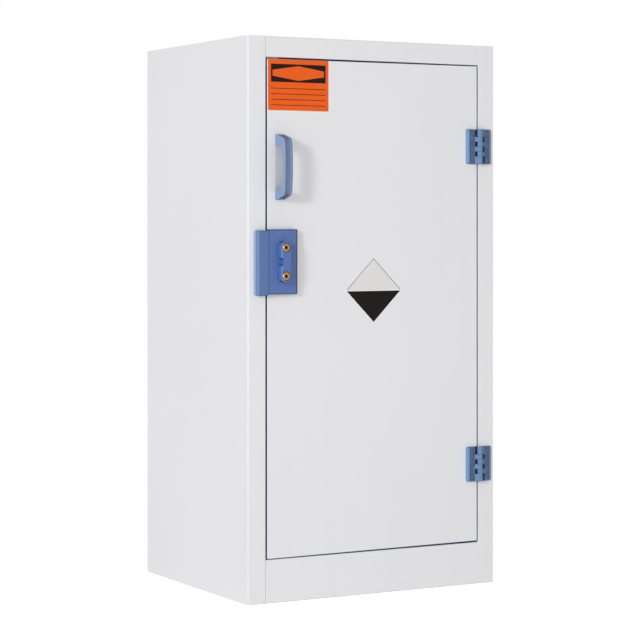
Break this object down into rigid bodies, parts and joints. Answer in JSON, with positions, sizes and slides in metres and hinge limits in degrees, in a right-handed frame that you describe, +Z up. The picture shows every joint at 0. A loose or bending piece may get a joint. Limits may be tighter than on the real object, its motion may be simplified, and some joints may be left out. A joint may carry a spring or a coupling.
{
  "type": "chemical safety cabinet",
  "caption": "Tall white plastic chemical cabinet with a full-height hinged door, a blue bow handle, a two-cylinder lock and spill trays inside",
  "frame": {"origin": "middle of the base, on the floor", "axes": "+Z up, +X to the right seen from the front, +Y to the back, so the door faces -Y"},
  "size_m": [0.581, 0.508, 1.12],
  "materials": {
    "white_plastic": "satin sheet",
    "tray_plastic": "satin",
    "stop_blue": "matte",
    "corner_grey": "matte",
    "edge_navy": "matte",
    "handle_blue": "satin",
    "backplate_grey": "satin",
    "lock_blue": "satin",
    "keeper_blue": "satin",
    "brass": "polished",
    "steel": "bright",
    "pin_steel": "bright",
    "hinge_blue": "satin",
    "cap_plastic": "glossy"
  },
  "bodies": {
    "carcass": {"back_panel": "white_plastic", "bottom_panel": "white_plastic", "frame_hinge_screws": "steel", "frame_screw_caps": "cap_plastic", "keeper_screws": "steel", "left_side": "white_plastic", "lock_keeper": "keeper_blue", "lower_hinge_frame_leaf": "hinge_blue", "lower_hinge_pin": "pin_steel", "lower_left_support": "tray_plastic", "lower_right_support": "tray_plastic", "lower_tray": "tray_plastic", "right_side": "white_plastic", "side_plug": "white_plastic", "stop_corner_block": "corner_grey", "stop_strip_bottom": "stop_blue", "stop_strip_hinge_side": "stop_blue", "stop_strip_lock_side": "stop_blue", "stop_strip_top": "stop_blue", "sump_tray": "tray_plastic", "top_panel": "white_plastic", "upper_hinge_frame_leaf": "hinge_blue", "upper_hinge_pin": "pin_steel", "upper_left_support": "tray_plastic", "upper_right_support": "tray_plastic", "upper_tray": "tray_plastic"},
    "door": {"door_panel": "white_plastic", "door_edge_band": "edge_navy", "door_rib_top": "white_plastic", "door_rib_middle": "white_plastic", "door_rib_bottom": "white_plastic", "handle": "handle_blue", "handle_backplate": "backplate_grey", "handle_screws": "steel", "lock_case": "lock_blue", "lock_case_screws": "steel", "upper_cylinder_housing": "brass", "lower_cylinder_housing": "brass", "upper_hinge_door_leaf": "hinge_blue", "lower_hinge_door_leaf": "hinge_blue", "door_hinge_screws": "steel", "door_screw_caps": "cap_plastic"},
    "upper_key": {"upper_key_plug": "brass", "upper_crank": "steel"},
    "lower_key": {"lower_key_plug": "brass", "lower_crank": "steel"},
    "upper_bolt": {"upper_dead_bolt": "steel"},
    "lower_bolt": {"lower_dead_bolt": "steel"}
  },
  "joints": [
    {"name": "door_swing", "type": "hinge", "parent": "carcass", "child": "door", "pos_m": [0.2516, -0.239, 0], "axis": [0, 0, 1], "range_deg": [0, 170]},
    {"name": "upper_key_turn", "type": "hinge", "parent": "door", "child": "upper_key", "pos_m": [-0.2178, -0.2605, 0.7026], "axis": [0, -1, 0], "range_deg": [0, 90]},
    {"name": "upper_bolt_slide", "type": "slide", "parent": "door", "child": "upper_bolt", "axis": [-1, 0, 0], "range_m": [0, 0.0099]},
    {"name": "lower_key_turn", "type": "hinge", "parent": "door", "child": "lower_key", "pos_m": [-0.2178, -0.2605, 0.6462], "axis": [0, -1, 0], "range_deg": [0, 90]},
    {"name": "lower_bolt_slide", "type": "slide", "parent": "door", "child": "lower_bolt", "axis": [-1, 0, 0], "range_m": [0, 0.0099]}
  ],
  "couplings": [
    {"joint": "upper_key_turn", "follows": "upper_bolt_slide", "rad_per_m": 158.66},
    {"joint": "lower_key_turn", "follows": "lower_bolt_slide", "rad_per_m": 158.66}
  ]
}
